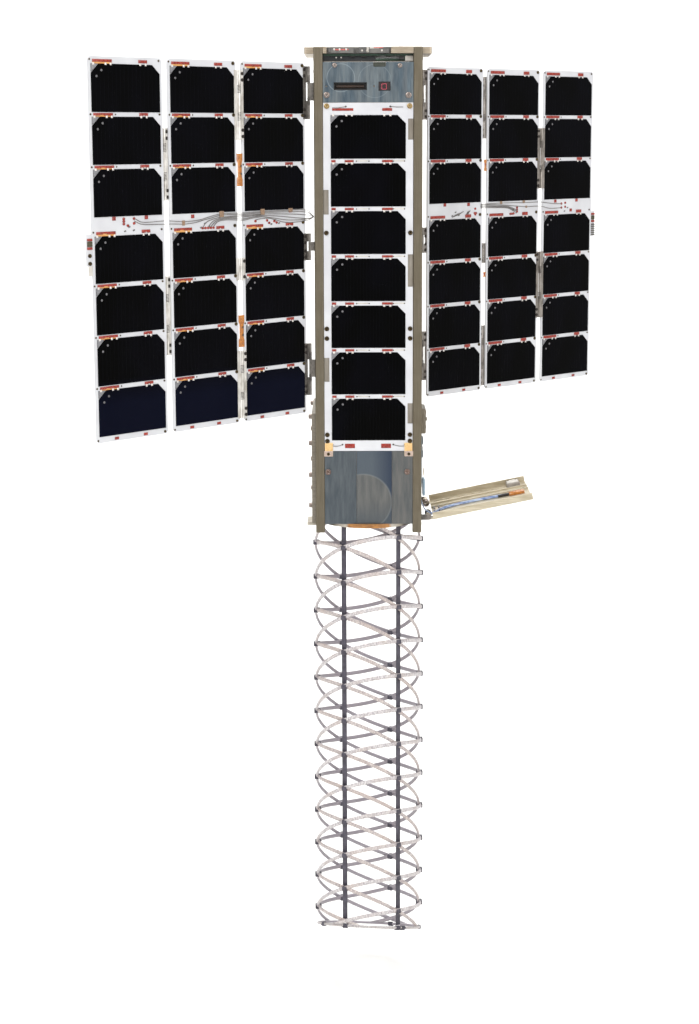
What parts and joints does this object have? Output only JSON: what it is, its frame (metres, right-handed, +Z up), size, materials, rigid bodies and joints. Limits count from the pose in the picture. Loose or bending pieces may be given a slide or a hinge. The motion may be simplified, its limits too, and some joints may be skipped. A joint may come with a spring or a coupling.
{
  "type": "small satellite",
  "caption": "Box-shaped small satellite with fold-out solar wings, a hanging crossed-helix lattice antenna and a hinged side tray.",
  "frame": {"origin": "middle of the box-shaped body between the rails' ends", "axes": "+Z up along the rails, -Y out of the face with the service plate, +X to that face's right"},
  "size_m": [0.474, 0.3971, 0.8987],
  "materials": {
    "rail_anodised": "hard anodised, satin",
    "bare_skin": "satin",
    "champagne_metal": "satin with milling marks",
    "top_metal": "satin",
    "service_metal": "satin with milling marks",
    "edge_connector": "moulded and plated",
    "circuit_board": "solder mask, satin",
    "socket_plastic": "moulded, matt",
    "display_plastic": "dark face with lit segments",
    "white_board": "white laminate, matt",
    "solar_cell": "coated cell under clear cover",
    "clip_metal": "gold plated",
    "deck_metal": "satin",
    "amber_film": "film over plastic",
    "side_plate_metal": "hard anodised, satin",
    "release_metal": "machined, satin",
    "cable_strip": "woven tape, matt",
    "electronics": "closed block",
    "hinge_metal": "machined, satin",
    "strand_white": "composite tape, matt",
    "strand_beige": "composite tape, matt",
    "clamp_dark": "film, matt",
    "ring_composite": "composite tape, matt",
    "tray_metal": "satin with lengthwise marks",
    "latch_metal": "machined, satin",
    "cable_jacket": "cable jacket, satin"
  },
  "bodies": {
    "root": {"rail_front_left": "rail_anodised", "rail_front_right": "rail_anodised", "rail_rear_right": "rail_anodised", "rail_rear_left": "rail_anodised", "skin_front": "bare_skin", "skin_right": "bare_skin", "skin_rear": "bare_skin", "skin_left": "bare_skin", "top_plate": "top_metal", "top_edge_connectors": "edge_connector", "top_board": "circuit_board", "service_plate": "service_metal", "service_connector": "socket_plastic", "status_display": "display_plastic", "rear_upper_plate": "champagne_metal", "front_solar_board": "white_board", "front_solar_cells": "solar_cell", "front_lower_plates": "champagne_metal", "rear_solar_board": "white_board", "rear_solar_cells": "solar_cell", "rear_lower_plates": "champagne_metal", "board_clips": "clip_metal", "bottom_deck": "deck_metal", "antenna_disc": "amber_film", "left_side_plate": "side_plate_metal", "release_block": "release_metal", "harness_strip": "cable_strip", "avionics_stack": "electronics", "left_root_brackets": "hinge_metal", "right_root_brackets": "hinge_metal", "strands_right_hand": "strand_white", "strands_left_hand": "strand_beige", "lattice_joints": "clamp_dark", "lattice_strips": "clamp_dark", "tray_brackets": "hinge_metal"},
    "left_inner": {"left_inner_board": "white_board", "left_inner_cells": "solar_cell", "left_inner_hinges": "hinge_metal"},
    "left_middle": {"left_middle_board": "white_board", "left_middle_cells": "solar_cell", "left_middle_hinges": "hinge_metal"},
    "left_outer": {"left_outer_board": "white_board", "left_outer_cells": "solar_cell", "left_outer_hinges": "hinge_metal"},
    "right_inner": {"right_inner_board": "white_board", "right_inner_cells": "solar_cell", "right_inner_hinges": "hinge_metal"},
    "right_middle": {"right_middle_board": "white_board", "right_middle_cells": "solar_cell", "right_middle_hinges": "hinge_metal"},
    "right_outer": {"right_outer_board": "white_board", "right_outer_cells": "solar_cell", "right_outer_hinges": "hinge_metal"},
    "tray_arm": {"tray": "tray_metal", "tray_latch": "latch_metal", "tray_cable": "cable_jacket"},
    "antenna_end": {"lattice_end_ring": "ring_composite"}
  },
  "joints": [
    {"name": "left_root_fold", "type": "hinge", "parent": "root", "child": "left_inner", "pos_m": [-0.0545, -0.0462, 0], "axis": [0, 0, -1], "range_deg": [0, 132], "stiffness_Nm_per_rad": 0.004, "springref_deg": -17.19},
    {"name": "left_middle_fold", "type": "hinge", "parent": "left_inner", "child": "left_middle", "pos_m": [-0.11489, -0.09869, 0], "axis": [0, 0, 1], "range_deg": [0, 180], "stiffness_Nm_per_rad": 0.004, "springref_deg": -17.19},
    {"name": "left_outer_fold", "type": "hinge", "parent": "left_middle", "child": "left_outer", "pos_m": [-0.17635, -0.14999, 0], "axis": [0, 0, -1], "range_deg": [0, 180], "stiffness_Nm_per_rad": 0.004, "springref_deg": -17.19},
    {"name": "right_root_fold", "type": "hinge", "parent": "root", "child": "right_inner", "pos_m": [0.0545, 0.0462, 0], "axis": [0, 0, -1], "range_deg": [0, 129], "stiffness_Nm_per_rad": 0.004, "springref_deg": -17.19},
    {"name": "right_middle_fold", "type": "hinge", "parent": "right_inner", "child": "right_middle", "pos_m": [0.11743, 0.09561, 0], "axis": [0, 0, 1], "range_deg": [0, 180], "stiffness_Nm_per_rad": 0.004, "springref_deg": -17.19},
    {"name": "right_outer_fold", "type": "hinge", "parent": "right_middle", "child": "right_outer", "pos_m": [0.18149, 0.14363, 0], "axis": [0, 0, -1], "range_deg": [0, 180], "stiffness_Nm_per_rad": 0.004, "springref_deg": -17.19},
    {"name": "tray_fold", "type": "hinge", "parent": "root", "child": "tray_arm", "pos_m": [0.0575, 0, -0.2145], "axis": [0, -1, 0], "range_deg": [0, 78.5], "stiffness_Nm_per_rad": 0.004, "springref_deg": -17.19},
    {"name": "antenna_collapse", "type": "slide", "parent": "root", "child": "antenna_end", "axis": [0, 0, 1], "range_m": [0, 0.37], "stiffness_N_per_m": 1.5, "springref_m": -0.1, "deforming": ["strands_right_hand", "strands_left_hand", "lattice_joints", "lattice_strips"]}
  ],
  "couplings": [
    {"joint": "left_outer_fold", "follows": "left_middle_fold", "ratio": 1},
    {"joint": "right_outer_fold", "follows": "right_middle_fold", "ratio": 1}
  ]
}
